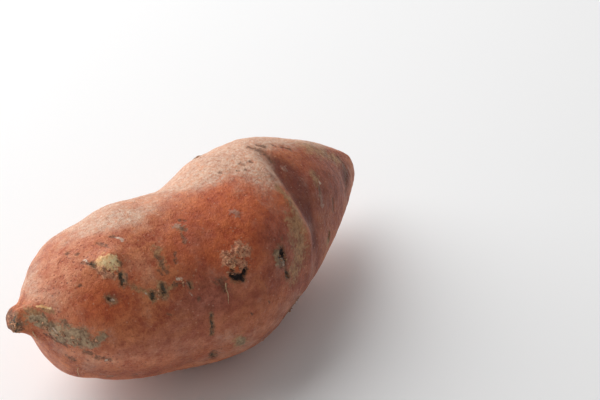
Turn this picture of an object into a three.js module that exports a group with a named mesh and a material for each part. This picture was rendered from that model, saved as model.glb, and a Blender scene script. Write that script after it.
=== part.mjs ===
// A whole raw sweet potato with its skin on, lying on its belly.
//
// It is a storage root that grew as one piece, so it is one solid. A stub of the stem end stands out
// at -X and the tail tapers off at +X. Sizes are in millimetres and +Z is up. The origin is on the
// surface that the root lies on, in the middle of its length and width.
import * as THREE from "three";
import { mergeVertices } from "three/addons/utils/BufferGeometryUtils.js";

// How many strips the skin is divided into, along the root and around it.
const RINGS = 76;
const SIDES = 58;

// The middle line and the thickness, from the end face of the stub to the tip of the tail:
// how far along the root, how far towards the back, how high, and the radius there.
const STATIONS = [
  { along: 0, side: 13.8, height: 48.6, radius: 0 },
  { along: 0.5, side: 13.8, height: 48.6, radius: 3.2 },
  { along: 1.5, side: 13.5, height: 48.6, radius: 4.1 },
  { along: 4.5, side: 12.6, height: 48, radius: 5.4 },
  { along: 7.5, side: 12, height: 45.5, radius: 8.8 },
  { along: 9.5, side: 11.5, height: 43.6, radius: 12 },
  { along: 13, side: 11, height: 40, radius: 17.6 },
  { along: 20, side: 10.5, height: 39.5, radius: 24 },
  { along: 31, side: 10, height: 39, radius: 29.5 },
  { along: 46, side: 8, height: 38, radius: 32.5 },
  { along: 63, side: 5, height: 36, radius: 34.5 },
  { along: 81, side: 4.5, height: 35, radius: 36 },
  { along: 99, side: 7.5, height: 35.5, radius: 36 },
  { along: 115, side: 11.5, height: 36.5, radius: 33 },
  { along: 129, side: 14, height: 35.5, radius: 28 },
  { along: 142, side: 16, height: 34, radius: 21.5 },
  { along: 154, side: 18.5, height: 32, radius: 15 },
  { along: 163, side: 21, height: 30, radius: 10 },
  { along: 168, side: 21, height: 30, radius: 5 },
  { along: 169, side: 20.5, height: 30, radius: 0 },
];

// The lists below place bumps on the skin, and dimples where the height is below zero. Angles run
// from the top over the front: 0 is the top, 90 the front, 180 the underside and -90 the back.
// reach is the size along the root in millimetres, and spread is the size around it in degrees.

// The slow rise and fall of the whole root.
const SWELLINGS = [
  // The stem half is full at the back and underneath, with a saddle behind it and a waist across the front.
  { along: 54, around: -42, reach: 10, spread: 40, height: 1 },
  { along: 80, around: -42, reach: 10, spread: 50, height: -1.6 },
  { along: 54, around: 66, reach: 9, spread: 36, height: -2 },
  { along: 12, around: 175, reach: 5.5, spread: 55, height: 2.3 },
  { along: 32, around: 125, reach: 12, spread: 30, height: 1 },
  // The middle is fullest at the front, above a hollow towards the tail.
  { along: 86, around: 34, reach: 15, spread: 34, height: 1.4 },
  { along: 70, around: 116, reach: 12, spread: 26, height: 1.4 },
  { along: 103, around: 128, reach: 9, spread: 26, height: -1.5 },
  // The tail is dented near its tip and pinched at the back.
  { along: 153, around: 64, reach: 5, spread: 24, height: -1.5 },
  { along: 143, around: 28, reach: 8, spread: 26, height: 0.8 },
  { along: 134, around: -95, reach: 12, spread: 30, height: -1.6 },
  // The back has two broad lobes with a furrow between them.
  { along: 52, around: -105, reach: 18, spread: 30, height: 1.4 },
  { along: 92, around: -110, reach: 16, spread: 34, height: 1.2 },
  { along: 74, around: -120, reach: 8, spread: 40, height: -1.8 },
  // The belly is full under the root's weight, so that it lies steadily.
  { along: 75, around: -170, reach: 22, spread: 22, height: 1.2 },
];

// The shoulder is a fold where the thick middle steps down to the tail. It crosses the top and the
// front, and dies out at the back and underneath. Past the step the skin slowly comes back up.
const SHOULDER = { along: 112.5, around: 48, spread: 50, step: 1.2, drop: 4.6, recovery: 26 };
const SHOULDER_BOW = { around: 68, spread: 14, height: 3 };
const SHOULDER_LIP = { back: 3.5, reach: 3.5, height: 1 };

// Stumps of side roots that stand out of the skin.
const KNOBS = [
  { along: 34.5, around: 19, reach: 4.6, spread: 7, height: 2.6 },
  { along: 76.5, around: 46, reach: 5.5, spread: 8, height: 1.1 },
  { along: 104, around: -78, reach: 4, spread: 6, height: 1.6 },
  { along: 40, around: -150, reach: 4.5, spread: 7, height: 1.5 },
];

// Eyes, root scars and dents in the skin.
const EYES = [
  // On the side that faces the front and the top.
  { along: 73.5, around: 57, reach: 3, spread: 5, height: -2.8 },
  { along: 95, around: 63, reach: 3, spread: 8, height: -2.2 },
  { along: 93.5, around: 105, reach: 4.5, spread: 6, height: -2 },
  { along: 35, around: 35, reach: 2.2, spread: 6, height: -1.4 },
  { along: 40.5, around: 50, reach: 3, spread: 5, height: -1.3 },
  { along: 46.5, around: 49, reach: 2.2, spread: 5, height: -1.3 },
  { along: 55.5, around: 52, reach: 3, spread: 5, height: -1 },
  { along: 28.5, around: 45, reach: 2.4, spread: 5, height: -1 },
  { along: 59, around: 82, reach: 2, spread: 14, height: -0.9 },
  { along: 112, around: -1, reach: 5, spread: 9, height: -1.6 },
  { along: 128, around: 85, reach: 3, spread: 8, height: -1.2 },
  { along: 136, around: 70, reach: 2.5, spread: 10, height: -1 },
  // On the back and underneath.
  { along: 30, around: -88, reach: 3.5, spread: 7, height: -1.7 },
  { along: 63, around: -72, reach: 3, spread: 6, height: -1.6 },
  { along: 84, around: -138, reach: 3.5, spread: 6, height: -1.8 },
  { along: 121, around: -112, reach: 3, spread: 8, height: -1.8 },
  { along: 146, around: -60, reach: 2.5, spread: 10, height: -1.2 },
  { along: 56, around: 148, reach: 3.5, spread: 6, height: -1.5 },
  { along: 112, around: 150, reach: 3.5, spread: 7, height: -1.6 },
];

// A slight unevenness all over, so that no side of the root is regular.
const UNEVENNESS = 0.45;

// The stub turns up: its rings lean back by this share of their height, and less and less up to where
// the lean ends.
const STUB_LEAN = { share: 0.5, full: 1, end: 7 };

// Relief dies out where the root is thinner than this, so that both ends close cleanly.
const THIN_END = 6;

// How much of the underside is pressed flat where the root lies on it.
const FLAT_DEPTH = 2.4;

const SKIN = { color: 0xa85f45, roughness: 0.62, metalness: 0 };

// The signed difference between two angles, from -180 to 180 degrees.
function turnBetween(angle, from) {
  return THREE.MathUtils.euclideanModulo(angle - from + 180, 360) - 180;
}

// A smooth bump that falls off with the distance along the root and the turn around it.
function bump(along, around, { along: middle, around: facing, reach, spread, height }) {
  const far = (along - middle) / reach;
  const turned = turnBetween(around, facing) / spread;
  return height * Math.exp(-far * far - turned * turned);
}

// A soft step down towards the tail, with a raised lip before it.
function shoulder(along, around) {
  const bowed = turnBetween(around, SHOULDER_BOW.around) / SHOULDER_BOW.spread;
  const past = along - SHOULDER.along - SHOULDER_BOW.height * Math.exp(-bowed * bowed);
  const step = 1 / (1 + Math.exp(-past / SHOULDER.step));
  const drop = SHOULDER.drop * step * Math.exp(-Math.max(past, 0) / SHOULDER.recovery);
  const lip = SHOULDER_LIP.height * Math.exp(-(((past + SHOULDER_LIP.back) / SHOULDER_LIP.reach) ** 2));
  const turned = turnBetween(around, SHOULDER.around) / SHOULDER.spread;
  return (lip - drop) * Math.exp(-(turned ** 4));
}

// Slow waves that run askew to the root.
function unevenness(along, angle) {
  const lengthwise = Math.sin(along / 7 + 2 * Math.sin(angle)) * Math.cos(2 * angle + along / 23);
  const crosswise = Math.sin(5 * angle - along / 11) * Math.cos(angle + along / 17);
  return UNEVENNESS * (lengthwise + crosswise);
}

// Height of the skin above the plain round section, at a place on the root.
function relief(along, around) {
  const bumps = [...SWELLINGS, ...KNOBS, ...EYES].reduce((sum, one) => sum + bump(along, around, one), 0);
  return bumps + shoulder(along, around) + unevenness(along, THREE.MathUtils.degToRad(around));
}

// The skin as a sphere's grid of rings, each ring moved to its station and shaped there.
function makeSkin() {
  const profile = new THREE.SplineCurve(STATIONS.map((s) => new THREE.Vector2(s.along, s.radius)));
  const spine = new THREE.SplineCurve(STATIONS.map((s) => new THREE.Vector2(s.side, s.height)));
  const skin = new THREE.SphereGeometry(1, SIDES, RINGS);
  const position = skin.getAttribute("position");
  for (let ring = 0; ring <= RINGS; ring++) {
    const t = profile.getUtoTmapping(1 - ring / RINGS);
    const { x: along, y: radius } = profile.getPoint(t);
    const { x: side, y: height } = spine.getPoint(t);
    const fade = Math.min(1, radius / THIN_END);
    const lean = STUB_LEAN.share * (1 - THREE.MathUtils.smoothstep(along, STUB_LEAN.full, STUB_LEAN.end));
    for (let step = 0; step <= SIDES; step++) {
      const around = (360 * (step % SIDES)) / SIDES;
      const angle = THREE.MathUtils.degToRad(around);
      const out = radius + fade * relief(along, around);
      position.setXYZ(
        ring * (SIDES + 1) + step,
        along + lean * out * Math.cos(angle),
        side - out * Math.sin(angle),
        height + out * Math.cos(angle),
      );
    }
  }
  skin.deleteAttribute("normal");
  skin.deleteAttribute("uv");
  return mergeVertices(skin);
}

// Presses the underside flat, and puts the origin under the middle of the root.
function layDown(skin) {
  skin.computeBoundingBox();
  const floor = skin.boundingBox.min.z + FLAT_DEPTH;
  const position = skin.getAttribute("position");
  for (let i = 0; i < position.count; i++) {
    position.setZ(i, Math.max(position.getZ(i), floor));
  }
  const middle = skin.boundingBox.getCenter(new THREE.Vector3());
  skin.translate(-middle.x, -middle.y, -floor);
  skin.computeVertexNormals();
  return skin;
}

const root = new THREE.Mesh(layDown(makeSkin()), new THREE.MeshStandardMaterial(SKIN));
root.name = "sweet_potato";

const sweetPotato = new THREE.Group();
sweetPotato.add(root);

export default sweetPotato;
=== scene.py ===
"""A raw sweet potato in its skin, lying on a pale floor under soft light."""
import math
import bpy
import numpy as np
from mathutils import Matrix, Vector


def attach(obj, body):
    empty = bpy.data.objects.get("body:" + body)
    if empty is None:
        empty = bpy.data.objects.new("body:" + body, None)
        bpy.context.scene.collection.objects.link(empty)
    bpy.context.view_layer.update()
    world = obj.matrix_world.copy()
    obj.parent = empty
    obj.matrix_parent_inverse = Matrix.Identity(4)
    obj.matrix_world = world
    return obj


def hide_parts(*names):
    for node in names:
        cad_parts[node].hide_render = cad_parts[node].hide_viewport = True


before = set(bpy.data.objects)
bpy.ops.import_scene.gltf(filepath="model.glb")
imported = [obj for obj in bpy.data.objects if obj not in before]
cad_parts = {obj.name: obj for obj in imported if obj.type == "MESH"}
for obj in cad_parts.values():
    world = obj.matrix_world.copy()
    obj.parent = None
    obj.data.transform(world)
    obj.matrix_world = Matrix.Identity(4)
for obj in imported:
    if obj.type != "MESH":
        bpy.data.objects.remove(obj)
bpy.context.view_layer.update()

# The form of the root. It is one storage root, grown in one piece: a stub of the stem end at -X, a
# full half, a waist, a thick middle with a fold in its shoulder, and a tail at +X. Lengths are in
# millimetres. Angles run from the top over the front: 0 is the top, 90 the front, -90 the back.
MM = 0.001
RINGS, SIDES = 384, 256

# The middle line and the thickness: along the root, towards the back, height, and radius.
STATIONS = np.array([
    (0, 13.8, 48.6, 0),
    (0.5, 13.8, 48.6, 3.2),
    (1.5, 13.5, 48.6, 4.1),
    (4.5, 12.6, 48, 5.4),
    (7.5, 12, 45.5, 8.8),
    (9.5, 11.5, 43.6, 12),
    (13, 11, 40, 17.6),
    (20, 10.5, 39.5, 24),
    (31, 10, 39, 29.5),
    (46, 8, 38, 32.5),
    (63, 5, 36, 34.5),
    (81, 4.5, 35, 36),
    (99, 7.5, 35.5, 36),
    (115, 11.5, 36.5, 33),
    (129, 14, 35.5, 28),
    (142, 16, 34, 21.5),
    (154, 18.5, 32, 15),
    (163, 21, 30, 10),
    (168, 21, 30, 5),
    (169, 20.5, 30, 0),
])

# Rises and hollows of the whole root: along, around, reach along in mm, spread around in degrees,
# and height. The last ones are stumps of side roots.
SWELLINGS = [
    (54, -42, 10, 40, 1),
    (80, -42, 10, 50, -1.6),
    (54, 66, 9, 36, -2),
    (12, 175, 5.5, 55, 2.3),
    (32, 125, 12, 30, 1),
    (86, 34, 15, 34, 1.4),
    (70, 116, 12, 26, 1.4),
    (103, 128, 9, 26, -1.5),
    (153, 64, 5, 24, -1.5),
    (143, 28, 8, 26, 0.8),
    (134, -95, 12, 30, -1.6),
    (52, -105, 18, 30, 1.4),
    (92, -110, 16, 34, 1.2),
    (74, -120, 8, 40, -1.8),
    (75, -170, 22, 22, 1.2),
    (34.5, 19, 4.6, 7, 2.6),
    (76.5, 46, 5.5, 8, 1.1),
    (104, -78, 4, 6, 1.6),
    (40, -150, 4.5, 7, 1.5),
]

# The fold in the shoulder: its place and its step down, which slowly comes back up past it, its bow
# towards the tail, and the raised lip before it.
FOLD = {"along": 112.5, "around": 48, "spread": 50, "step": 1.2, "drop": 4.6, "recovery": 26}
BOW = {"around": 68, "spread": 14, "height": 3}
LIP = {"back": 3.5, "reach": 3.5, "height": 1}

# A slight unevenness all over. The stub turns up, so its rings lean back by a share of their height: in
# full up to one place along, and not at all past another. Relief dies out where the root is thinner
# than THIN_END. The underside is pressed flat by FLAT_DEPTH, because the root lies on it.
UNEVENNESS = 0.45
STUB_LEAN, LEAN_FULL, LEAN_GONE = 0.5, 1, 7
THIN_END = 6
FLAT_DEPTH = 2.4


def curve_through(points, t):
    """The smooth curve through the points, for t from 0 to 1. Between two points it is the cubic whose
    slope at each of them is half the step between that point's two neighbours."""
    last = len(points) - 1
    place = last * t
    start = np.minimum(place.astype(int), last - 1)
    part = (place - start)[:, None]
    before, here, there, after = (points[np.clip(start + k, 0, last)] for k in (-1, 0, 1, 2))
    leave, arrive = (there - before) / 2, (after - here) / 2
    return ((2 * here - 2 * there + leave + arrive) * part ** 3
            + (3 * there - 3 * here - 2 * leave - arrive) * part ** 2 + leave * part + here)


def turned(angles, facing):
    """The signed turn from one angle to the others, from -180 to 180 degrees."""
    return (angles - facing + 180) % 360 - 180


def swell(bumps):
    """The sum of smooth bumps: each falls off as a bell with the distance along and the turn around."""
    total = np.zeros(around.shape)
    for middle, facing, reach, spread, rise in bumps:
        far = (along - middle) / reach
        total += rise * np.exp(-far ** 2 - (turned(around, facing) / spread) ** 2)
    return total


def shoulder():
    """The fold: a soft step down towards the tail with a raised lip before it. It bows towards the tail
    half way down the front, and dies out at the back and underneath."""
    bow = BOW["height"] * np.exp(-(turned(around, BOW["around"]) / BOW["spread"]) ** 2)
    past = along - FOLD["along"] - bow
    drop = FOLD["drop"] / (1 + np.exp(-past / FOLD["step"]))
    drop = drop * np.exp(-np.maximum(past, 0) / FOLD["recovery"])
    lip = LIP["height"] * np.exp(-((past + LIP["back"]) / LIP["reach"]) ** 2)
    return (lip - drop) * np.exp(-(turned(around, FOLD["around"]) / FOLD["spread"]) ** 4)


def unevenness():
    """Slow waves that run askew to the root: one set along it and one across it."""
    lengthwise = np.sin(along / 7 + 2 * np.sin(angle)) * np.cos(2 * angle + along / 23)
    crosswise = np.sin(5 * angle - along / 11) * np.cos(angle + along / 17)
    return UNEVENNESS * (lengthwise + crosswise)


def lattice_noise(place, size, seed):
    """Smooth random heights from -1 to 1: random numbers on a cubic lattice with steps of that size,
    blended with an ease curve between the eight corners around each point."""
    cells = 32
    lattice = np.random.default_rng(seed).uniform(-1, 1, (cells, cells, cells))
    scaled = place / size
    corner = np.floor(scaled).astype(int)
    part = scaled - corner
    eased = part * part * (3 - 2 * part)
    total = 0
    for step in np.ndindex(2, 2, 2):
        share = np.prod(np.where(step, eased, 1 - eased), axis=-1)
        x, y, z = np.moveaxis((corner + step) % cells, -1, 0)
        total = total + share * lattice[x, y, z]
    return total


# The skin's grid: rings evenly spaced along the outline, with their points closer together on the side
# where most of the eyes are.
CURVE_STEPS = 6001
EYES_SIDE, CROWDING = 45, 20
curve_t = np.linspace(0, 1, CURVE_STEPS)
outline = curve_through(STATIONS, curve_t)
outline_run = np.append(0, np.cumsum(np.hypot(np.diff(outline[:, 0]), np.diff(outline[:, 3]))))
run = np.linspace(0, outline_run[-1], RINGS + 1)[:, None]
ring_t = np.interp(run[:, 0], outline_run, curve_t)
along, side, height, radius = curve_through(STATIONS, ring_t)[:, None, :].transpose(2, 0, 1)
even = np.arange(SIDES) * 360 / SIDES
around = (even - CROWDING * np.sin(np.radians(even - EYES_SIDE)))[None, :] + 0 * along
angle = np.radians(around)
plain = np.stack([along + 0 * around, side - radius * np.sin(angle), height + radius * np.cos(angle)], -1)

# The marks on the skin, each a stroke from one place to another: along and around at each end, and half
# the stroke's width in millimetres.
MARKS = {
    # The deepest eyes, black inside: dark pigment, with painted shade for their depth.
    "hole": [
        (71.2, 55.5, 74.5, 59.5, 1.3),
        (74.5, 59, 77.2, 55.5, 0.9),
        (94, 58.5, 93.6, 64.5, 1.7),
        (95, 109.5, 100.5, 105.5, 1.8),
        (83, -139, 85, -136, 1.3),
    ],
    # Shallower eyes and root scars, slate brown inside: dark pigment, with painted shade for their depth.
    "pit": [
        (72.2, 51.5, 72.5, 52.5, 0.6),
        (94.3, 74, 94.7, 76, 0.9),
        (35.6, 32, 34.2, 38.5, 0.9),
        (42.5, 51.5, 42.3, 54.5, 1),
        (47, 48.5, 46.4, 54, 1),
        (56.3, 51.5, 56.3, 54.5, 0.6),
        (28.8, 17, 29.2, 19.5, 0.8),
        (28.2, 44.5, 28.8, 46.5, 1.2),
        (60.3, 75.5, 58.9, 91, 0.5),
        (60.5, 113, 61, 116, 0.8),
        (129.8, 93, 129, 96, 0.9),
        (0.3, 20, 0.3, 150, 0.9),
        (0.1, 90, 0.1, 180, 0.9),
        (1, 80, 1.4, 130, 0.7),
        (29, -88, 31, -86, 1.5),
        (62, -72, 64, -70, 1.3),
        (120.5, -116, 121.5, -108, 1.2),
        (145.5, -64, 146.5, -56, 0.9),
        (55, 147, 57, 149, 1.4),
        (111.5, 147, 112.5, 153, 1.5),
    ],
    # Shallow scars, worn brown.
    "scar": [
        (41, 2, 41.8, 4.2, 0.9),
        (36, 4, 37.2, 9.5, 0.9),
        (26, -5.5, 26.5, -5, 0.8),
        (28, 0.5, 28.5, 1, 0.7),
        (22, 25, 22.5, 25.5, 0.7),
        (50.4, 29, 50.6, 40, 1),
        (48.5, 39, 48.6, 41, 0.8),
        (56.7, 30, 55.4, 36, 0.7),
        (62.2, 21, 61.8, 26, 0.8),
        (64.5, 16, 65, 19, 0.9),
        (66, 10, 67, 12, 0.7),
        (51, 49.5, 53.5, 50.5, 0.8),
        (94, 67, 94.6, 76, 1.1),
        (112.4, -9, 113.6, -6, 1.3),
        (114, -5, 115.6, -1, 1.6),
        (115.8, 0, 116.2, 5, 1.2),
        (116.4, 6, 117, 10, 0.8),
        (117, -8, 119, -5, 0.9),
        (127.5, -2, 130.5, 2.5, 0.9),
        (124, -6, 125, -4, 0.8),
        (102.6, -1.5, 103, 0.5, 0.8),
        (101.8, 5.5, 102.4, 7, 0.6),
        (106, 3, 106.6, 4.5, 0.6),
        (99, 2, 99.4, 3, 0.5),
        (93, -6, 93.6, -4.5, 0.6),
        (66.5, 55.5, 67.5, 61, 1.6),
        (137.5, 66, 136.5, 78, 0.9),
        (131, 47, 130, 52, 1),
        (60.5, 111, 61, 118, 1.9),
        (158.5, 46, 155, 70, 1.6),
        (154, 72, 150, 80, 1),
        (157.5, 20, 158.5, 40, 1),
        (96.5, 52, 96.5, 53.5, 0.5),
        (83, 81.5, 83.5, 82, 0.5),
        (74.5, 83.5, 75, 84.5, 0.5),
        (15.8, 86, 17, 88, 0.8),
        (18.3, 92, 19.5, 95, 0.9),
        (20.8, 94, 22, 96, 0.9),
        (7.4, 94, 9, 88, 0.7),
        (9.4, 90, 11.5, 86, 0.7),
        (11.5, 108, 13, 103, 0.8),
        (0.3, -40, 0.6, 170, 1.4),
        (1, 60, 2.4, 110, 0.9),
        (27.5, 11, 28.5, 15, 0.8),
        (36.6, 24.5, 37, 27, 0.8),
        (30.6, 26, 30.8, 28, 0.8),
        (98.7, -44, 99.3, -42, 1.1),
        (91.6, 64, 92, 67, 0.9),
        (57.5, 62, 57.5, 64, 0.7),
        (45, 68, 46, 70, 0.7),
    ],
    # Grey, corky healed skin.
    "cork": [
        (5.5, 60, 8, 62, 2),
        (8, 60, 10.5, 66, 2.8),
        (10, 74, 14, 69, 2.8),
        (13, 60, 15.5, 66, 2.4),
        (15, 73, 17, 76, 2),
        (18, 76, 21.5, 69, 1.2),
        (69.5, 101, 70.5, 104, 1.3),
        (91.6, 57, 91.2, 64, 1.1),
        (68, -150, 78, -156, 2.6),
        (76, -150, 82, -160, 2),
        (20, -130, 26, -122, 1.8),
        (138, -140, 144, -132, 1.6),
        (98.7, -44, 99.3, -42, 1.3),
    ],
    # Tan, barky lumps around the eyes.
    "bark": [
        (71.8, 43.5, 72.5, 48, 1.6),
        (73.5, 45.5, 74, 49, 1.4),
        (77.5, 42.5, 80, 46, 1.9),
        (75.5, 49.5, 77.2, 52.5, 1.2),
        (29.8, 24, 30.8, 28.5, 1.2),
        (32.2, 30, 33, 32, 0.9),
        (0.2, -90, 0.2, 60, 0.9),
        (103, -80, 105, -76, 1.6),
        (39, -151, 41, -149, 1.7),
        (31.5, -92, 32.5, -86, 1),
    ],
    # Cream, where the skin is rubbed off a stump or scratched. The stump's cream is paler than its own tone,
    # a painted highlight on its lit top.
    "cream": [
        (31.6, 20.5, 33.6, 23, 2),
        (33.4, 21, 35.6, 23.5, 1.7),
        (8.4, 20, 11.5, 27, 0.4),
        (72.6, 49.5, 73, 50.5, 0.6),
        (104, -79, 104.5, -77, 0.8),
        (40, -151, 40.5, -150, 0.9),
    ],
    # White specks of dry soil and dead skin.
    "fleck": [
        (52.8, 46.8, 54, 47.8, 0.6),
        (39.8, 50.2, 40, 50.7, 0.5),
        (55, 58.5, 55.5, 59.5, 0.5),
        (28.7, 45.6, 28.9, 46.4, 0.5),
        (93.6, 64, 93.8, 66, 0.8),
        (132.7, 43, 132.9, 44, 0.6),
        (42.3, 6, 43.4, 9.5, 0.8),
        (91.5, -1, 91.7, -0.5, 0.4),
        (79, 3, 79.3, 3.5, 0.4),
        (28.3, 9.5, 28.6, 12.5, 0.5),
        (21, 96, 21.4, 97, 0.4),
        (9.6, 66, 9.8, 70, 0.5),
    ],
    # Grey, smooth breathing pores and healed bruises.
    "grey": [
        (84.5, 24, 84.8, 25, 1.5),
        (62.8, 12, 64, 14, 1.2),
        (91.4, 63, 92, 66, 1),
        (131, 46, 128.5, 62, 1.3),
        (36.6, 33, 35.2, 38.5, 0.6),
        (55.2, 51, 55.4, 53, 0.7),
        (119.5, 17, 120, 19, 1.2),
        (107.5, 14, 109, 22, 1.3),
    ],
    # Olive, where the skin is thin.
    "olive": [
        (107.5, 28, 110, 40, 0.9),
        (110, 40, 109, 56, 2),
        (107, 52, 104, 70, 3.8),
        (103.5, 66, 98, 80, 2.6),
        (6, 30, 7, 54, 2.8),
        (9.5, 24, 11.5, 32, 1.2),
        (37.2, 42.5, 41, 51, 1),
        (46, 46, 45.6, 56, 1.2),
        (48.5, 52, 51.5, 50, 1),
        (42, 51, 41.6, 56, 1),
        (69, 100, 70.5, 104, 2),
        (127.5, 97, 128, 99, 1.2),
        (52, 24.5, 51, 29, 1.3),
        (50.5, 32, 50.5, 38, 1.1),
        (63.5, 14, 64, 17, 1.2),
        (140, 4, 150, 12, 3),
        (148, 14, 156, 26, 2.4),
        (132, 34, 131, 42, 1.6),
        (60, -120, 66, -112, 2.2),
    ],
}

# Broad shades of the skin that run into each other: along, around, reach along, spread around, share.
SHADES = {
    # Partly real dust and partly painted sheen: the pale band along the top, the back rim and the tail's top
    # stands in for grazing light.
    "dust_and_painted_sheen": [
        (97, -18, 12, 14, 1),
        (104, 4, 10, 18, 0.8),
        (109, 16, 4, 12, 0.8),
        (112, -10, 11, 10, 0.6),
        (84, -14, 10, 10, 0.7),
        (92, -38, 30, 22, 0.8),
        (60, -56, 50, 20, 0.6),
        (36, -88, 12, 18, 0.4),
        (78, -96, 9, 26, 0.45),
        (110, -82, 10, 20, 0.45),
        (56, -112, 12, 14, 0.3),
        (126, -46, 24, 16, 0.7),
        (53, -9, 8, 9, 0.6),
        (44, -13, 9, 9, 0.9),
        (45, -38, 24, 24, 0.5),
        (12, -20, 5, 50, 0.4),
        (15, 100, 6, 16, 0.35),
        (80, 112, 36, 20, 0.25),
        (134, -12, 12, 10, 0.8),
        (148, -6, 9, 12, 0.8),
        (122, -24, 12, 14, 0.7),
        (70, -120, 50, 40, 0.3),
    ],
    "rosy": [
        (14, 14, 9, 46, 0.9),
        (30, -8, 16, 22, 0.7),
        (16, 88, 12, 24, 0.5),
        (70, -8, 26, 12, 0.6),
        (42, 34, 7, 18, 0.5),
        (50, 118, 26, 14, 0.3),
        (42, 98, 22, 10, 0.9),
        (60, -150, 50, 40, 0.4),
        (118, -10, 16, 20, 0.4),
    ],
    "orange": [
        (84, 20, 18, 26, 1),
        (100, 32, 9, 18, 0.8),
        (66, 28, 14, 16, 0.8),
        (76, 48, 12, 12, 0.6),
        (26, 44, 11, 20, 0.9),
        (130, 24, 8, 20, 0.4),
        (128, 44, 6, 12, 0.5),
        (146, 34, 8, 16, 0.4),
        (60, -90, 26, 26, 0.4),
    ],
    # Partly brown skin and partly painted shade: the waist hollow, the tail and the underside are darkened
    # as if in shadow.
    "brown_and_painted_shade": [
        (60, 60, 11, 18, 0.8),
        (64, 24, 9, 14, 0.5),
        (80, 74, 18, 16, 0.5),
        (96, 52, 12, 18, 0.8),
        (138, 48, 22, 44, 0.8),
        (152, 50, 9, 30, 0.6),
        (30, 118, 26, 14, 0.6),
        (60, 112, 24, 14, 0.3),
        (100, 96, 18, 26, 0.3),
        (110, -120, 24, 30, 0.4),
        (60, -110, 50, 50, 0.3),
        (110, 140, 30, 24, 0.5),
        (112, 92, 18, 24, 0.6),
    ],
    "mauve": [
        (46, 86, 24, 12, 0.9),
        (66, 98, 24, 12, 1),
        (84, 106, 14, 12, 0.8),
        (70, 62, 14, 10, 0.5),
        (56, 70, 12, 10, 0.5),
    ],
    "freckled": [
        (66, 8, 10, 16, 1),
        (16, 20, 14, 40, 1),
        (36, 14, 12, 26, 0.8),
        (16, 100, 12, 24, 1),
        (14, 122, 10, 24, 1),
        (40, 118, 18, 16, 0.6),
        (88, -4, 12, 12, 0.5),
        (60, -140, 30, 30, 0.6),
        (120, -90, 20, 30, 0.6),
    ],
    # Painted shade: the valley past the fold, the tail and the lower right edge are darkened as if in
    # shadow, facing away from the window. A few small patches by the eyes are the skin's own dark tone.
    "deep": [
        (117, 12, 3, 10, 0.8),
        (118.5, 30, 5, 18, 1.2),
        (120, 18, 5, 9, 0.4),
        (120, 38, 4, 12, 0.5),
        (98, 113, 5, 7, 0.9),
        (84, 113, 8, 6, 0.6),
        (118, 55, 3.5, 14, 1),
        (117.5, 78, 3, 14, 0.9),
        (74, -118, 5, 30, 0.6),
        (93, 62, 5, 10, 0.5),
        (156, 60, 4, 18, 0.9),
        (130, 56, 10, 40, 0.35),
        (29, 45, 3.5, 6, 0.7),
    ],
}


# How far the edge of a mark strays, as a share of half its width.
RAGGED = 0.6


def stroke(first_along, first_around, last_along, last_around, half_width):
    """How far inside a stroke each point of the skin is: 1 on its line, 0 on its edge, less outside.
    The distance is taken on the skin, and noise makes the edge ragged."""
    ends = np.interp([first_along, last_along], outline[:, 0], outline_run)
    x = run - ends[0] + half_width * RAGGED * grain_a
    y = np.radians(turned(around, first_around)) * radius + half_width * RAGGED * grain_b
    dx = ends[1] - ends[0]
    dy = np.radians(turned(last_around, first_around)) * radius
    share = np.clip((x * dx + y * dy) / (dx * dx + dy * dy + 1e-6), 0, 1)
    return 1 - np.hypot(x - share * dx, y - share * dy) / half_width


def strokes(places):
    """The strongest of several strokes at each point of the skin, down to -3 away from them all."""
    return np.maximum(np.max([stroke(*place) for place in places], axis=0), -3)


def smooth_step(low, high, value):
    """0 below low and 1 above high, with an ease curve between."""
    part = np.clip((value - low) / (high - low), 0, 1)
    return part * part * (3 - 2 * part)


# The grain of the skin, which makes the edges of the marks ragged, and the grit of what healed on it.
grain_a = lattice_noise(plain, 2.2, 1) + 0.6 * lattice_noise(plain, 0.9, 8)
grain_b = lattice_noise(plain, 2.2, 2) + 0.6 * lattice_noise(plain, 0.9, 9)
grit = lattice_noise(plain, 1.1, 3)

# Small scars and pores strewn over the back and the underside, where the eyes are fewer: how many of
# each, and half the width of the widest. They are up to STREWN_STEP long, along and around.
STREWN = {"scar": (46, 1), "pit": (12, 0.8), "fleck": (12, 0.5), "grey": (10, 1.1)}
STREWN_ALONG, STREWN_AROUND = (14, 150), (118, 312)
STREWN_STEP = (1.2, 4)
chance = np.random.default_rng(11)
for kind, (count, widest) in STREWN.items():
    places = np.stack([chance.uniform(*STREWN_ALONG, count), chance.uniform(*STREWN_AROUND, count)], -1)
    steps = chance.uniform(-1, 1, (count, 2)) * STREWN_STEP
    widths = chance.uniform(0.5, 1, (count, 1)) * widest
    MARKS[kind] += np.hstack([places, places + steps, widths]).tolist()

marks = {kind: strokes(places) for kind, places in MARKS.items()}
shades = {kind: np.clip(swell(places), 0, 1) for kind, places in SHADES.items()}

# The relief of the skin, in millimetres: the form, lumps of two sizes, and the grain. Fine wrinkles run
# across it, deepest on the stem end and on the tail, which they fade in towards.
STEM_WRINKLES, TAIL_WRINKLES = (34, 12), (134, 152)
near_ends = smooth_step(*STEM_WRINKLES, along) + smooth_step(*TAIL_WRINKLES, along)
crosswise = lattice_noise(plain * [1, 0.3, 0.3], 1.5, 7)
relief = swell(SWELLINGS) + shoulder() + unevenness()
for lump_height, lump_size, seed in ((0.25, 9, 4), (0.16, 3.6, 5)):
    relief = relief + lump_height * lattice_noise(plain, lump_size, seed)
relief = relief + 0.06 * grain_a + (0.04 + 0.1 * near_ends) * crosswise

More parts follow.
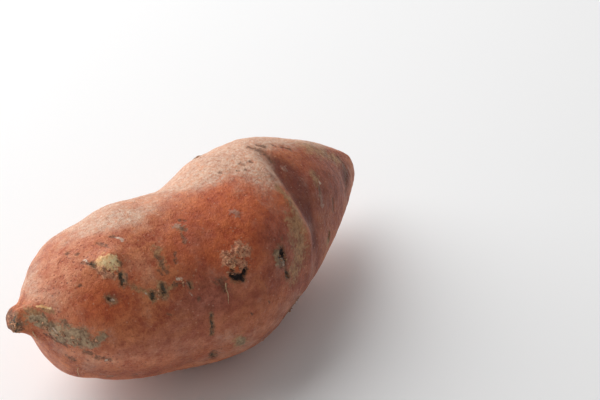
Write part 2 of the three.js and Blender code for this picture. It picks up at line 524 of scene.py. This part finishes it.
# What healed stands on the skin in rough flakes: how high, how uneven, and how far inside the stroke it
# is at its full height. Pores stand out too, folds and scars sink in, and dry soil sticks on.
FLAKES = [("cork", 0.4, 0.25, 0.3), ("bark", 0.6, 0.4, 0.4), ("cream", 0.25, 0.25, 0.4)]
for kind, raised, uneven, full in FLAKES:
    relief = relief + (raised + uneven * grit) * smooth_step(-0.15, full, marks[kind])
relief = relief + 0.25 * smooth_step(0, 0.5, marks["grey"])
relief = relief - 0.25 * smooth_step(-0.5, 0.2, shades["deep"] - 0.6)
relief = relief - 0.3 * smooth_step(-0.2, 0.8, marks["scar"])
relief = relief + 0.25 * smooth_step(0, 0.6, marks["fleck"])

# The eyes sink in, each inside a raised rim.
RIM_HEIGHT = 0.3
for kind, depth in (("pit", 1.1), ("hole", 1.8)):
    rim = np.exp(-((marks[kind] + 0.3) / 0.25) ** 2)
    relief = relief - depth * smooth_step(-0.05, 0.8, marks[kind]) + RIM_HEIGHT * rim
out = radius + np.minimum(1, radius / THIN_END) * relief
lean = STUB_LEAN * smooth_step(LEAN_GONE, LEAN_FULL, along)
upward, backward = out * np.cos(angle), -out * np.sin(angle)
skin = np.stack([along + lean * upward, side + backward, height + upward], -1)

# The underside is pressed flat, and the origin is put under the middle of the root.
floor_height = skin[..., 2].min() + FLAT_DEPTH
skin[..., 2] = np.maximum(skin[..., 2], floor_height)
box_middle = (skin.min((0, 1)) + skin.max((0, 1))) / 2
skin = skin - [box_middle[0], box_middle[1], floor_height]


def skin_mesh(name, grid):
    """A closed mesh from rings of points: quads between the rings, and a fan to a pole at each end."""
    rings = grid[1:-1].reshape(-1, 3)
    poles = [grid[0].mean(0), grid[-1].mean(0)]
    points = np.vstack([rings, poles]) * MM
    count = len(rings) // SIDES
    low = np.arange(SIDES)
    high = np.roll(low, -1)
    first = (np.arange(count - 1) * SIDES)[:, None]
    quads = np.stack([first + low, first + high, first + high + SIDES, first + low + SIDES], -1)
    stem = np.stack([high, low, np.full(SIDES, len(rings))], -1)
    end = (count - 1) * SIDES
    tail = np.stack([end + low, end + high, np.full(SIDES, len(rings) + 1)], -1)
    mesh = bpy.data.meshes.new(name)
    mesh.from_pydata(points.tolist(), [], quads.reshape(-1, 4).tolist() + stem.tolist() + tail.tolist())
    mesh.shade_smooth()
    return mesh


def dress(mesh, fields):
    """Puts each field on the mesh as a number per point: the rings' values, then those of the poles."""
    for name, field in fields.items():
        values = np.concatenate([field[1:-1].ravel(), [field[0].mean(), field[-1].mean()]])
        mesh.attributes.new(name, "FLOAT", "POINT").data.foreach_set("value", values.astype(np.float32))


root = bpy.data.objects.new("sweet_potato_skin", skin_mesh("sweet_potato_skin", skin))
dress(root.data, {**marks, **shades})
bpy.context.scene.collection.objects.link(root)
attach(root, "root")
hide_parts("sweet_potato")


def shader(tree, kind, inputs=(), result=0, **settings):
    """Adds a node of that kind and gives one of its outputs back. An input is a value, or the output of
    an earlier node, which is joined to it."""
    made = tree.nodes.new("ShaderNode" + kind)
    for name, value in settings.items():
        setattr(made, name, value)
    for place, value in dict(inputs).items():
        if isinstance(value, bpy.types.NodeSocket):
            tree.links.new(value, made.inputs[place])
        else:
            made.inputs[place].default_value = value
    return made.outputs[result]


def seen(red, green, blue):
    """A colour as the eye sees it, 0 to 255 each, in the linear shares that the shader takes: a straight
    line for the darkest shares, and a power of 2.4 for the rest."""
    shares = np.array([red, green, blue]) / 255
    return (*np.where(shares < 0.04045, shares / 12.92, ((shares + 0.055) / 1.055) ** 2.4), 1)


def blend(tree, share, under, over):
    """The under colour with that share of the over colour on it."""
    return shader(tree, "Mix", {0: share, 6: under, 7: over}, 2, data_type="RGBA")


def reckon(tree, operation, first, second):
    """One sum on two values."""
    return shader(tree, "Math", {0: first, 1: second}, operation=operation)


def ease(tree, value, low, high):
    """0 below low and 1 above high, with an ease curve between."""
    return shader(tree, "MapRange", {"Value": value, "From Min": low, "From Max": high},
                  interpolation_type="SMOOTHSTEP")


def noise(tree, place, size, detail):
    """Noise from 0 to 1 with lumps of that size in millimetres, and as many finer layers as the detail."""
    inputs = {"Vector": place, "Scale": 1 / (size * MM), "Detail": detail, "Roughness": 0.6}
    return shader(tree, "TexNoise", inputs)


def mottling():
    """A node group for anything that grew: two colours mixed by coarse, middling and fine noise."""
    tree = bpy.data.node_groups.new("mottling", "ShaderNodeTree")
    for name, kind in (("Deep", "NodeSocketColor"), ("Pale", "NodeSocketColor"), ("Size", "NodeSocketFloat"),
                       ("Strength", "NodeSocketFloat")):
        tree.interface.new_socket(name, in_out="INPUT", socket_type=kind)
    tree.interface.new_socket("Color", in_out="OUTPUT", socket_type="NodeSocketColor")
    tree.interface.new_socket("Height", in_out="OUTPUT", socket_type="NodeSocketFloat")
    given = tree.nodes.new("NodeGroupInput").outputs
    place = shader(tree, "TexCoord", result="Object")
    shares = 0.0
    for times, weight in ((1.0, 0.5), (3.5, 0.3), (11.0, 0.2)):
        scale = reckon(tree, "DIVIDE", times / MM, given["Size"])
        spots = shader(tree, "TexNoise", {"Vector": place, "Scale": scale, "Detail": 3.0, "Roughness": 0.6})
        shares = reckon(tree, "ADD", shares, reckon(tree, "MULTIPLY", spots, weight))
    centred = reckon(tree, "SUBTRACT", shares, 0.5)
    share = reckon(tree, "ADD", reckon(tree, "MULTIPLY", centred, given["Strength"]), 0.5)
    leaving = tree.nodes.new("NodeGroupOutput").inputs
    tree.links.new(blend(tree, share, given["Deep"], given["Pale"]), leaving["Color"])
    tree.links.new(shares, leaving["Height"])
    return tree


MOTTLING = mottling()


def mottled(tree, deep, pale, size, strength):
    """Places the mottling group and gives its colour and its height back."""
    group = tree.nodes.new("ShaderNodeGroup")
    group.node_tree = MOTTLING
    for name, value in (("Deep", deep), ("Pale", pale), ("Size", size), ("Strength", strength)):
        group.inputs[name].default_value = value
    return group.outputs


def finish(name):
    """A new material, its node tree, and the shader in it."""
    made = bpy.data.materials.new(name)
    made.use_nodes = True
    return made, made.node_tree, made.node_tree.nodes["Principled BSDF"]


skin_finish, tree, shine = finish("sweet_potato_skin")
place = shader(tree, "TexCoord", result="Object")
broad_noise = noise(tree, place, 26, 2.0)
patch_noise = noise(tree, place, 8, 4.0)
grain_noise = noise(tree, place, 1.2, 5.0)
fine_noise = noise(tree, place, 0.55, 2.0)


def field(name):
    """A number that the mesh carries at each point."""
    return shader(tree, "Attribute", result="Fac", attribute_name=name)


def shade(name, low=0.25, high=1.05, patches=0.4, lean=0.0):
    """A broad shade, with its edge broken up by patches, and leaning to more of it where told."""
    mixed = reckon(tree, "ADD", field(name), reckon(tree, "MULTIPLY", patch_noise, patches))
    return ease(tree, reckon(tree, "ADD", mixed, lean), low, high)


def mark(name, low, high, loose):
    """The inside of a mark, with its edge made ragged: more so, the looser it is."""
    shift = reckon(tree, "MULTIPLY", reckon(tree, "SUBTRACT", grain_noise, 0.5), loose)
    return ease(tree, reckon(tree, "ADD", field(name), shift), low, high)


def dotted(spacing, inner, outer, share):
    """Dots about as far apart as the spacing, in millimetres. Each is full out to its inner radius and
    gone at its outer one, both as shares of the spacing. Only the given share of the dots is there."""
    cells = {"Vector": place, "Scale": 1 / (spacing * MM), "Randomness": 1.0}
    away = ease(tree, shader(tree, "TexVoronoi", cells, "Distance"), inner, outer)
    chosen = shader(tree, "SeparateColor", {"Color": shader(tree, "TexVoronoi", cells, "Color")}, "Red")
    near = reckon(tree, "SUBTRACT", 1, away)
    return reckon(tree, "MULTIPLY", near, reckon(tree, "LESS_THAN", chosen, share))


def laid(under, over, share, strength):
    """The colour so far with another laid over it, where the share says and at that strength."""
    return blend(tree, reckon(tree, "MULTIPLY", share, strength), under, over)


# The healthy skin: terracotta, with rosy, orange, brown and mauve shades; the brown is partly painted shade,
# and the dark red-brown is painted shade in the valley past the fold.
ground = mottled(tree, seen(158, 68, 36), seen(218, 132, 84), 6, 4.4)
rosy_skin = mottled(tree, seen(184, 90, 58), seen(234, 160, 122), 3.4, 4.6)["Color"]
orange_skin = mottled(tree, seen(164, 62, 30), seen(218, 110, 58), 3, 3.6)["Color"]
brown_skin_and_painted_shade = mottled(tree, seen(112, 46, 34), seen(176, 92, 68), 4, 5.4)["Color"]
mauve_skin = mottled(tree, seen(126, 62, 50), seen(188, 116, 96), 4, 5.0)["Color"]
orange = shade("orange")
redder = reckon(tree, "MULTIPLY", reckon(tree, "SUBTRACT", broad_noise, 0.5), 1.1)
browner = reckon(tree, "MULTIPLY", redder, -0.5)
colour = laid(ground["Color"], rosy_skin, shade("rosy", lean=redder), 0.75)
colour = laid(colour, orange_skin, orange, 0.8)
# The brown is partly the skin's own tone and partly painted shade in the waist, on the tail and underneath.
colour = laid(colour, brown_skin_and_painted_shade, shade("brown_and_painted_shade", lean=browner), 0.75)
colour = laid(colour, mauve_skin, shade("mauve"), 0.4)
# Painted shade, dark red-brown, in the valley past the fold, on the tail and along the lower edge.
colour = laid(colour, seen(100, 42, 34), shade("deep"), 0.7)

# Dark red dots, fewer on the orange skin and more where it is freckled, and a few pale ones.
dot = reckon(tree, "MAXIMUM", dotted(2.3, 0.06, 0.26, 0.6), dotted(1.2, 0.1, 0.4, 0.42))
clear = reckon(tree, "SUBTRACT", 1, reckon(tree, "MULTIPLY", orange, 0.7))
freckled = reckon(tree, "ADD", 0.5, reckon(tree, "MULTIPLY", field("freckled"), 0.9))
dot = reckon(tree, "MULTIPLY", reckon(tree, "MULTIPLY", dot, clear), freckled)
colour = laid(colour, seen(126, 46, 32), dot, 0.52)
colour = laid(colour, seen(226, 180, 150), dotted(1.5, 0.1, 0.3, 0.2), 0.35)

# Pale dust of dry soil, which lies thickest on top, and painted sheen: pale light painted along the top, the
# back rim and the tail's top, where the window's light grazes the skin.
dust_and_painted_sheen = reckon(tree, "MULTIPLY", shade("dust_and_painted_sheen", 0.6, 1.4, 1.2), ease(tree, grain_noise, 0.1, 0.75))
dust_and_sheen_colour = mottled(tree, seen(206, 162, 134), seen(240, 220, 198), 1.6, 3.6)["Color"]
colour = laid(colour, dust_and_sheen_colour, dust_and_painted_sheen, 0.9)

# The marks lie over it. Each has its edge (where it starts, where it is full, how loose it is), the share
# that it covers, its deep and pale colours, and the size and strength of their mottling.
LAYERS = [
    ("olive", (-0.9, 0.8, 4.5), 0.85, (124, 82, 54), (204, 156, 108), 2.4, 4.4),
    ("grey", (-0.3, 0.7, 4.5), 0.75, (128, 80, 62), (204, 160, 138), 1.6, 4.4),
    ("cork", (-0.8, 0.4, 3), 0.9, (104, 82, 60), (192, 166, 132), 3, 4.6),
    ("pit", (-1.5, 0.3, 3.4), 0.75, (104, 66, 46), (186, 146, 106), 1.4, 4.4),
    ("hole", (-1.0, 0.2, 3.4), 0.7, (92, 56, 40), (164, 124, 86), 1.4, 4.4),
    ("bark", (-0.6, 0.1, 2.6), 0.95, (134, 68, 44), (236, 170, 130), 1.8, 5.2),
    # The cream is partly a painted highlight: paler than the bare flesh, for the lit top of the stump.
    ("cream", (-0.5, 0.1, 3), 0.95, (238, 166, 100), (255, 232, 178), 4, 4.0),
    ("scar", (-0.5, 0.8, 4.5), 0.8, (80, 44, 32), (150, 104, 76), 1.4, 5.0),
    # The dark insides of the pits and holes are partly painted shade for their depth.
    ("pit", (0.0, 0.9, 3.8), 0.95, (46, 40, 34), (120, 112, 94), 1.6, 4.4),
    ("hole", (-0.1, 0.5, 3), 0.95, (20, 18, 26), (64, 54, 52), 1.6, 4.4),
    ("fleck", (-0.3, 0.5, 4.5), 0.85, (190, 150, 126), (238, 218, 198), 1, 4.0),
]
for kind, edge, strength, deep, pale, size, contrast in LAYERS:
    over = mottled(tree, seen(*deep), seen(*pale), size, contrast)["Color"]
    colour = laid(colour, over, mark(kind, *edge), strength)
tree.links.new(colour, shine.inputs["Base Color"])

# Matt where the dust and the painted sheen lie, a little smoother where the skin is bare, and finely
# wrinkled all over.
rough = reckon(tree, "ADD", 0.42, reckon(tree, "MULTIPLY", fine_noise, 0.25))
rough = reckon(tree, "ADD", rough, reckon(tree, "MULTIPLY", dust_and_painted_sheen, 0.2))
tree.links.new(rough, shine.inputs["Roughness"])
shine.inputs["Specular IOR Level"].default_value = 0.35
shine.inputs["Sheen Weight"].default_value = 0.06
shine.inputs["Sheen Roughness"].default_value = 0.4
stretch = shader(tree, "Mapping", {"Vector": place, "Scale": (1.0, 0.3, 0.3)})
wrinkles = noise(tree, stretch, 0.6, 3.0)
surface = reckon(tree, "MULTIPLY", dot, -0.15)
for grain, strength in ((wrinkles, 0.7), (fine_noise, 0.35), (ground["Height"], 2.0), (grain_noise, 0.55)):
    surface = reckon(tree, "ADD", surface, reckon(tree, "MULTIPLY", grain, strength))
bump = shader(tree, "Bump", {"Height": surface, "Strength": 0.8, "Distance": 0.7 * MM})
tree.links.new(bump, shine.inputs["Normal"])
root.data.materials.append(skin_finish)

# The crumbs of bark are scraps of dead skin that cling around the eyes and the stub: lens-shaped,
# curled, as hard as cork, and no wider than a pinhead.
CRUMB_SIDES = 9

# A crumb's radius in millimetres, and as shares of it how uneven its rim is, its lift off the skin, its
# tilt, its thickness and its curl. The profile is half its outline: out from the middle, and up.
CRUMB_RADIUS, CRUMB_RIM = (0.3, 0.75), (0.6, 1.25)
CRUMB_LIFT, CRUMB_TILT, CRUMB_THICKNESS, CRUMB_CURL = 0.15, 0.35, 0.55, 0.25
CRUMB_PROFILE = np.array([(0, 0.5), (0.6, 0.42), (1, 0), (0.6, -0.35), (0, -0.4)])


def unit(vectors):
    """The vectors at length 1: each divided by its length."""
    return vectors / np.maximum(np.linalg.norm(vectors, axis=-1, keepdims=True), 1e-9)


# The way out of the skin at each point of its grid.
lengthwise = np.gradient(skin, axis=0)
sideways = np.roll(skin, -1, axis=1) - np.roll(skin, 1, axis=1)
outward = unit(np.cross(sideways, lengthwise))


def on_skin(places, lift):
    """Points above the skin at places given as along and around, and the way out of it there. Each is
    blended from the four nearest points of the grid, and moved out by its lift."""
    ring = np.interp(np.interp(places[:, 0], outline[:, 0], outline_run), run[:, 0], np.arange(RINGS + 1))
    row = np.append(around[0] - around[0, 0], 360)
    column = np.interp((places[:, 1] - around[0, 0]) % 360, row, np.arange(SIDES + 1))
    this_ring, this_column = np.floor(ring).astype(int), np.floor(column).astype(int)
    ring_part, column_part = (ring - this_ring)[:, None], (column - this_column)[:, None]
    next_ring, next_column = np.minimum(this_ring + 1, RINGS), (this_column + 1) % SIDES
    this_column = this_column % SIDES
    found = []
    for grid in (skin, outward):
        near = grid[this_ring, this_column] * (1 - column_part) + grid[this_ring, next_column] * column_part
        far = grid[next_ring, this_column] * (1 - column_part) + grid[next_ring, next_column] * column_part
        found.append(near * (1 - ring_part) + far * ring_part)
    way_out = unit(found[1])
    return found[0] + way_out * np.asarray(lift)[:, None], way_out


def closed_shells(name, grids):
    """One mesh of many closed shells, each a stack of rings whose first and last ring are single points:
    fans to those two points, and quads between the rings."""
    shells, rings, sides, _ = grids.shape
    inner = grids[:, 1:-1].reshape(shells, -1, 3)
    points = np.concatenate([inner, grids[:, 0, :1], grids[:, -1, :1]], 1)
    per_shell = points.shape[1]
    low = np.arange(sides)
    high = np.roll(low, -1)
    first = (np.arange(rings - 3) * sides)[:, None]
    corners = [first + low, first + low + sides, first + high + sides, first + high]
    quads = np.stack(corners, -1).reshape(-1, 4)
    end = (rings - 3) * sides
    top = np.stack([low, high, np.full(sides, per_shell - 2)], -1)
    bottom = np.stack([end + high, end + low, np.full(sides, per_shell - 1)], -1)
    starts = (np.arange(shells) * per_shell)[:, None, None]
    faces = [(part[None] + starts).reshape(-1, part.shape[1]).tolist() for part in (quads, top, bottom)]
    mesh = bpy.data.meshes.new(name)
    mesh.from_pydata((points.reshape(-1, 3) * MM).tolist(), [], sum(faces, []))
    mesh.shade_smooth()
    return mesh


def crumbs_of_bark(places, sizes, chance):
    """Lens-shaped scraps: half an outline swung around its middle, with an uneven rim, curled like a
    saddle, and tilted off the skin."""
    count = len(places)
    middle, up = on_skin(places, CRUMB_LIFT * sizes)
    up = unit(up + chance.normal(0, CRUMB_TILT, (count, 3)))
    across = unit(np.cross(up, chance.normal(0, 1, (count, 3))))
    other = np.cross(up, across)
    turn = np.arange(CRUMB_SIDES) * 2 * math.pi / CRUMB_SIDES
    rim = chance.uniform(*CRUMB_RIM, (count, 1, CRUMB_SIDES)) * sizes[:, None, None]
    out_share, up_share = CRUMB_PROFILE[:, 0, None], CRUMB_PROFILE[:, 1, None]
    reach = out_share * rim
    rise = up_share * CRUMB_THICKNESS + CRUMB_CURL * out_share ** 2 * np.cos(2 * turn)
    rise = rise * sizes[:, None, None]
    flat = across[:, None, None] * np.cos(turn)[:, None] + other[:, None, None] * np.sin(turn)[:, None]
    return middle[:, None, None] + flat * reach[..., None] + up[:, None, None] * rise[..., None]


# Where crumbs cling: along, around, how far they spread in millimetres and degrees, and how many.
CRUMB_PATCHES = [
    (73, 47, 2.2, 3, 16),
    (78, 46, 2, 3, 16),
    (76, 54, 2.4, 2, 10),
    (94.5, 64, 1.2, 4, 8),
    (9, 72, 3, 12, 14),
    (13, 68, 2.4, 8, 10),
    (18.5, 73, 2, 3, 6),
    (1.2, 120, 0.8, 50, 10),
    (33.5, 26, 2.2, 4, 10),
    (45, 53, 3, 3, 7),
    (54, 49, 2.4, 3, 6),
    (98, 113, 1.2, 3, 6),
    (99, -41, 0.5, 0.8, 3),
    (104, -78, 2, 4, 12),
    (40, -150, 2.4, 4, 12),
    (30, -88, 2, 4, 8),
    (63, -71, 1.6, 3, 8),
    (72, -153, 4, 6, 16),
    (121, -112, 1.4, 5, 8),
]
chance = np.random.default_rng(23)
crumb_places = np.vstack([chance.normal(0, 0.6, (count, 2)) * [reach, spread] + [middle, facing]
                          for middle, facing, reach, spread, count in CRUMB_PATCHES])
crumb_sizes = chance.uniform(*CRUMB_RADIUS, len(crumb_places))
crumb_mesh = closed_shells("bark_crumbs", crumbs_of_bark(crumb_places, crumb_sizes, chance))
crumbs = bpy.data.objects.new("bark_crumbs", crumb_mesh)
bpy.context.scene.collection.objects.link(crumbs)
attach(crumbs, "root")

bark_finish, bark_tree, bark_shine = finish("bark_crumbs")
bark = mottled(bark_tree, seen(104, 60, 42), seen(234, 176, 136), 1.6, 5.0)
bark_bump = shader(bark_tree, "Bump", {"Height": bark["Height"], "Strength": 0.6, "Distance": 0.3 * MM})
bark_tree.links.new(bark["Color"], bark_shine.inputs["Base Color"])
bark_tree.links.new(bark_bump, bark_shine.inputs["Normal"])
bark_shine.inputs["Roughness"].default_value = 0.85
crumbs.data.materials.append(bark_finish)

# The root hairs are the last dry threads of the fine roots. Each grows out of an eye or a pore, bends
# over, and lies on the skin or stands a little off it.
HAIR_SIDES, HAIR_STEPS = 6, 14


def hairs(paths, thickness):
    """Thin tubes: rings of points around each path, full soon after the foot and then drawn out to a
    long point."""
    t = np.linspace(0, 1, HAIR_STEPS)
    taper = np.sqrt(np.clip(np.minimum(8 * t, 1.6 * (1 - t)), 0, 1))
    turn = np.arange(HAIR_SIDES) * 2 * math.pi / HAIR_SIDES
    grids = []
    for path, thick in zip(paths, thickness):
        places = curve_through(np.array(path, float), t)
        line, up = on_skin(places[:, :2], places[:, 2])
        ahead = unit(np.gradient(line, axis=0))
        across = unit(np.cross(ahead, up))
        other = np.cross(across, ahead)
        ring = across[:, None] * np.cos(turn)[:, None] + other[:, None] * np.sin(turn)[:, None]
        grids.append(line[:, None] + ring * (thick * taper)[:, None, None])
    return np.array(grids)


# Along, around and height above the skin, at four points of each hair, and half its thickness.
HAIR_FOOT = -0.2
HAIR_PATHS = [
    [(68.5, 58, HAIR_FOOT), (67.7, 60.5, 0.7), (67.5, 66, 0.5), (66.8, 72, 0.1)],
    [(14, 116, HAIR_FOOT), (14, 119, 0.8), (14.5, 123, 1.4), (15, 127, 1.6)],
    [(5, 112, HAIR_FOOT), (5.2, 117, 0.4), (5.8, 123, 0.6), (6.4, 130, 0.5)],
]
HAIR_THICKNESS = [0.17, 0.14, 0.16]

# More of them are strewn over the back and the underside, and each wanders off in its own direction.
STREWN_HAIRS = 16
for _ in range(STREWN_HAIRS):
    start, facing = chance.uniform(12, 155), chance.uniform(125, 310)
    bends = np.cumsum(chance.normal(0, 1, (3, 2)) * [1.2, 2] + chance.normal(0, 1, 2) * [0.8, 1.6], axis=0)
    lifts = chance.uniform(0.2, 1.2, 3)
    further = [(start + a, facing + b, lift) for (a, b), lift in zip(bends, lifts)]
    HAIR_PATHS.append([(start, facing, HAIR_FOOT), *further])
hair_thickness = np.append(HAIR_THICKNESS, chance.uniform(0.08, 0.16, STREWN_HAIRS))
hair_mesh = closed_shells("root_hairs", hairs(HAIR_PATHS, hair_thickness))
root_hairs = bpy.data.objects.new("root_hairs", hair_mesh)
bpy.context.scene.collection.objects.link(root_hairs)
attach(root_hairs, "root")

hair_finish, hair_tree, hair_shine = finish("root_hairs")
fibre = mottled(hair_tree, seen(150, 108, 72), seen(240, 214, 170), 2, 4.0)
hair_tree.links.new(fibre["Color"], hair_shine.inputs["Base Color"])
hair_shine.inputs["Roughness"].default_value = 0.7
root_hairs.data.materials.append(hair_finish)

# The floor is a plain pale sheet, and the light is soft: a broad window behind the root on its left,
# above it, with pale walls all round.
FLOOR_REACH = 3.0
floor_corners = [(x * FLOOR_REACH, y * FLOOR_REACH, 0) for x, y in ((-1, -1), (1, -1), (1, 1), (-1, 1))]
floor_mesh = bpy.data.meshes.new("floor")
floor_mesh.from_pydata(floor_corners, [], [(0, 1, 2, 3)])
floor = bpy.data.objects.new("floor", floor_mesh)
bpy.context.scene.collection.objects.link(floor)
floor_finish, _, floor_shine = finish("floor_pale")
floor_shine.inputs["Base Color"].default_value = (0.95, 0.95, 0.95, 1)
floor_shine.inputs["Roughness"].default_value = 0.8
floor_mesh.materials.append(floor_finish)

WALL_BRIGHTNESS = 0.28
room = bpy.data.worlds.new("pale_room")
room.use_nodes = True
walls = room.node_tree.nodes["Background"]
walls.inputs["Color"].default_value = (1, 1, 1, 1)
walls.inputs["Strength"].default_value = WALL_BRIGHTNESS
bpy.context.scene.world = room

WINDOW_DISTANCE, WINDOW_SIZE, WINDOW_POWER = 1.3, 2.0, 31
window_way = Vector((-0.2, 0.8, 0.65)).normalized()
window_light = bpy.data.lights.new("window", "AREA")
window_light.shape = "SQUARE"
window_light.size = WINDOW_SIZE
window_light.energy = WINDOW_POWER
window = bpy.data.objects.new("window", window_light)
bpy.context.scene.collection.objects.link(window)
window.location = window_way * WINDOW_DISTANCE
window.rotation_euler = window_way.to_track_quat("Z", "Y").to_euler()

# The camera looks down on the root from its front left, through a long lens.
CAMERA_AIM = Vector((0.0536, 0.0086, 0.03))
CAMERA_TURN, CAMERA_RISE = math.radians(-40), math.radians(40)
CAMERA_DISTANCE = 0.681
CAMERA_LENS, CAMERA_SENSOR = 100, 36
back = Vector((math.sin(CAMERA_TURN) * math.cos(CAMERA_RISE),
               -math.cos(CAMERA_TURN) * math.cos(CAMERA_RISE), math.sin(CAMERA_RISE)))
right = Vector((math.cos(CAMERA_TURN), math.sin(CAMERA_TURN), 0))
up = back.cross(right)
camera = bpy.data.objects.new("camera", bpy.data.cameras.new("camera"))
bpy.context.scene.collection.objects.link(camera)
camera.data.lens = CAMERA_LENS
camera.data.sensor_width = CAMERA_SENSOR
facing_root = Matrix((right, up, back)).transposed().to_4x4()
camera.matrix_world = Matrix.Translation(CAMERA_AIM + back * CAMERA_DISTANCE) @ facing_root
bpy.context.scene.camera = camera
bpy.context.scene.view_settings.view_transform = "Standard"
